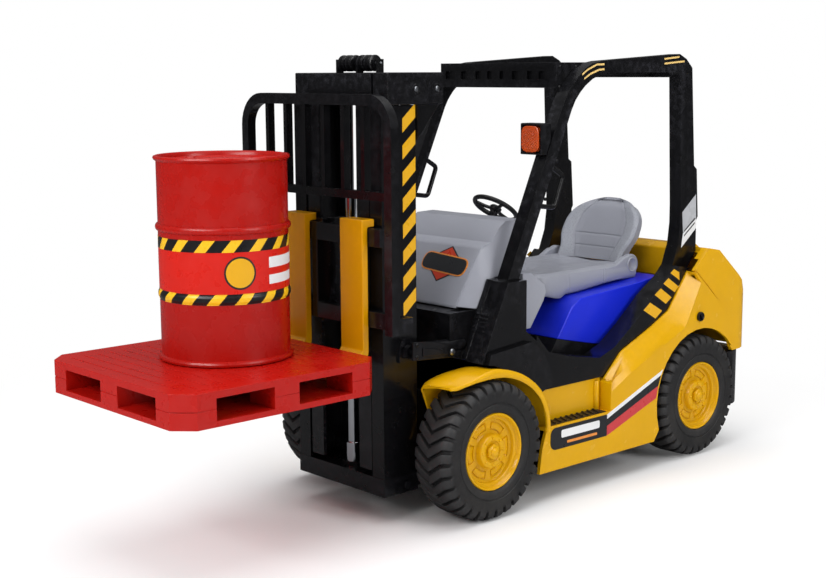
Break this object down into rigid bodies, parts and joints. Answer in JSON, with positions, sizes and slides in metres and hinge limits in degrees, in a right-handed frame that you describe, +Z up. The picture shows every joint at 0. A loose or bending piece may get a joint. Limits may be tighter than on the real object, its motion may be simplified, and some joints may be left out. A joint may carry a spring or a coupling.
{
  "type": "toy forklift",
  "caption": "Toy counterbalance forklift with tilting telescopic mast, forks, load guard, steered rear wheels, cab frame, pallet and ribbed drum.",
  "frame": {"origin": "on the ground, at the middle of the footprint of the truck with its pallet and drum; the front axle is 38 mm in front of it", "axes": "+X to the truck's left, -Y forward along the forks, +Z up"},
  "size_m": [0.201, 0.618, 0.3538],
  "materials": {
    "yellow_plastic": "moulded amber-yellow, glossy with faint orange peel",
    "black_plastic": "satin black moulding with fine grain",
    "grey_plastic": "cool light grey, satin",
    "blue_plastic": "royal blue, glossy",
    "red_plastic": "signal red, semi-gloss",
    "tyre_rubber": "soft black rubber, slightly dusty",
    "chrome": "plated and polished",
    "steel": "plain bright steel",
    "amber_lens": "translucent amber with moulded prisms",
    "brass": "machined",
    "battery_wrap": "shrink sleeve"
  },
  "bodies": {
    "chassis": {"left_side_panel": "yellow_plastic", "right_side_panel": "yellow_plastic", "rear_body": "yellow_plastic", "engine_cover": "yellow_plastic", "chassis_frame": "black_plastic", "rear_bumper": "black_plastic", "fuel_cap": "black_plastic", "cowl": "black_plastic", "steering_column": "black_plastic", "left_cab_frame": "black_plastic", "right_cab_frame": "black_plastic", "roof_grille": "black_plastic", "left_handle": "black_plastic", "right_handle": "black_plastic", "lamp_housing": "black_plastic", "left_tilt_cylinder": "black_plastic", "right_tilt_cylinder": "black_plastic", "rear_axle_beam": "black_plastic", "battery_door": "black_plastic", "hood": "grey_plastic", "seat_cushion": "grey_plastic", "seat_back": "grey_plastic", "seat_box": "blue_plastic", "drive_motor": "steel", "lamp_lens": "amber_lens", "battery_pack": "battery_wrap"},
    "mast": {"outer_mast": "black_plastic", "mast_cap": "black_plastic", "lift_cylinder": "chrome"},
    "inner_mast": {"inner_mast": "black_plastic", "pulley_axle": "steel", "lift_rod": "chrome"},
    "pulleys": {"left_pulley": "black_plastic", "right_pulley": "black_plastic"},
    "carriage": {"carriage": "black_plastic", "load_guard": "black_plastic", "left_fork": "yellow_plastic", "right_fork": "yellow_plastic"},
    "left_tilt_rod": {"left_tilt_rod": "black_plastic"},
    "right_tilt_rod": {"right_tilt_rod": "black_plastic"},
    "front_wheels": {"front_axle": "steel", "front_left_rim": "yellow_plastic", "front_left_tyre": "tyre_rubber", "front_right_rim": "yellow_plastic", "front_right_tyre": "tyre_rubber", "drive_gear": "grey_plastic"},
    "motor_pinion": {"motor_pinion": "brass"},
    "left_knuckle": {"left_knuckle": "black_plastic"},
    "right_knuckle": {"right_knuckle": "black_plastic"},
    "tie_rod": {"tie_rod": "steel"},
    "rear_left_wheel": {"rear_left_rim": "yellow_plastic", "rear_left_tyre": "tyre_rubber"},
    "rear_right_wheel": {"rear_right_rim": "yellow_plastic", "rear_right_tyre": "tyre_rubber"},
    "steering_wheel": {"steering_wheel": "black_plastic"},
    "power_switch": {"power_switch": "red_plastic"},
    "pallet": {"pallet": "red_plastic"},
    "drum": {"drum": "red_plastic"}
  },
  "joints": [
    {"name": "mast_tilt", "type": "hinge", "parent": "chassis", "child": "mast", "pos_m": [0, -0.086, 0.028], "axis": [1, 0, 0], "range_deg": [-3, 5]},
    {"name": "inner_mast_lift", "type": "slide", "parent": "mast", "child": "inner_mast", "axis": [0, 0, 1], "range_m": [0, 0.09]},
    {"name": "pulley_spin", "type": "hinge", "parent": "inner_mast", "child": "pulleys", "pos_m": [0, -0.084, 0.347], "axis": [1, 0, 0], "continuous": true},
    {"name": "carriage_lift", "type": "slide", "parent": "inner_mast", "child": "carriage", "axis": [0, 0, 1], "range_m": [-0.104, 0.055]},
    {"name": "left_tilt_rod_slide", "type": "slide", "parent": "chassis", "child": "left_tilt_rod", "axis": [0, 1, 0], "range_m": [-0.0095, 0.006]},
    {"name": "right_tilt_rod_slide", "type": "slide", "parent": "chassis", "child": "right_tilt_rod", "axis": [0, 1, 0], "range_m": [-0.0095, 0.006]},
    {"name": "front_wheel_spin", "type": "hinge", "parent": "chassis", "child": "front_wheels", "pos_m": [0, -0.038, 0.054], "axis": [1, 0, 0], "continuous": true},
    {"name": "pinion_spin", "type": "hinge", "parent": "chassis", "child": "motor_pinion", "pos_m": [0, -0.0144, 0.054], "axis": [1, 0, 0], "continuous": true},
    {"name": "left_steer", "type": "hinge", "parent": "chassis", "child": "left_knuckle", "pos_m": [0.064, 0.226, 0.054], "axis": [0, 0, 1], "range_deg": [-12, 12]},
    {"name": "right_steer", "type": "hinge", "parent": "chassis", "child": "right_knuckle", "pos_m": [-0.064, 0.226, 0.054], "axis": [0, 0, 1], "range_deg": [-12, 12]},
    {"name": "tie_rod_slide", "type": "slide", "parent": "chassis", "child": "tie_rod", "axis": [1, 0, 0], "range_m": [-0.004, 0.004]},
    {"name": "rear_left_spin", "type": "hinge", "parent": "left_knuckle", "child": "rear_left_wheel", "pos_m": [0.078, 0.226, 0.054], "axis": [1, 0, 0], "continuous": true},
    {"name": "rear_right_spin", "type": "hinge", "parent": "right_knuckle", "child": "rear_right_wheel", "pos_m": [-0.078, 0.226, 0.054], "axis": [1, 0, 0], "continuous": true},
    {"name": "steering_wheel_turn", "type": "hinge", "parent": "chassis", "child": "steering_wheel", "pos_m": [0, 0.064, 0.226], "axis": [0, 0.5729, 0.8196], "range_deg": [-170, 170]},
    {"name": "power_switch_slide", "type": "slide", "parent": "chassis", "child": "power_switch", "axis": [1, 0, 0], "range_m": [0, 0.004]},
    {"name": "pallet_slide", "type": "slide", "parent": "carriage", "child": "pallet", "axis": [0, -1, 0], "range_m": [0, 0.18]},
    {"name": "drum_lift", "type": "slide", "parent": "pallet", "child": "drum", "axis": [0, 0, 1], "range_m": [0, 0.12]}
  ],
  "couplings": [
    {"joint": "left_tilt_rod_slide", "follows": "mast_tilt", "m_per_rad": -0.104},
    {"joint": "right_tilt_rod_slide", "follows": "mast_tilt", "m_per_rad": -0.104},
    {"joint": "pinion_spin", "follows": "front_wheel_spin", "ratio": -3},
    {"joint": "right_steer", "follows": "left_steer", "ratio": 1},
    {"joint": "tie_rod_slide", "follows": "left_steer", "m_per_rad": -0.018}
  ]
}
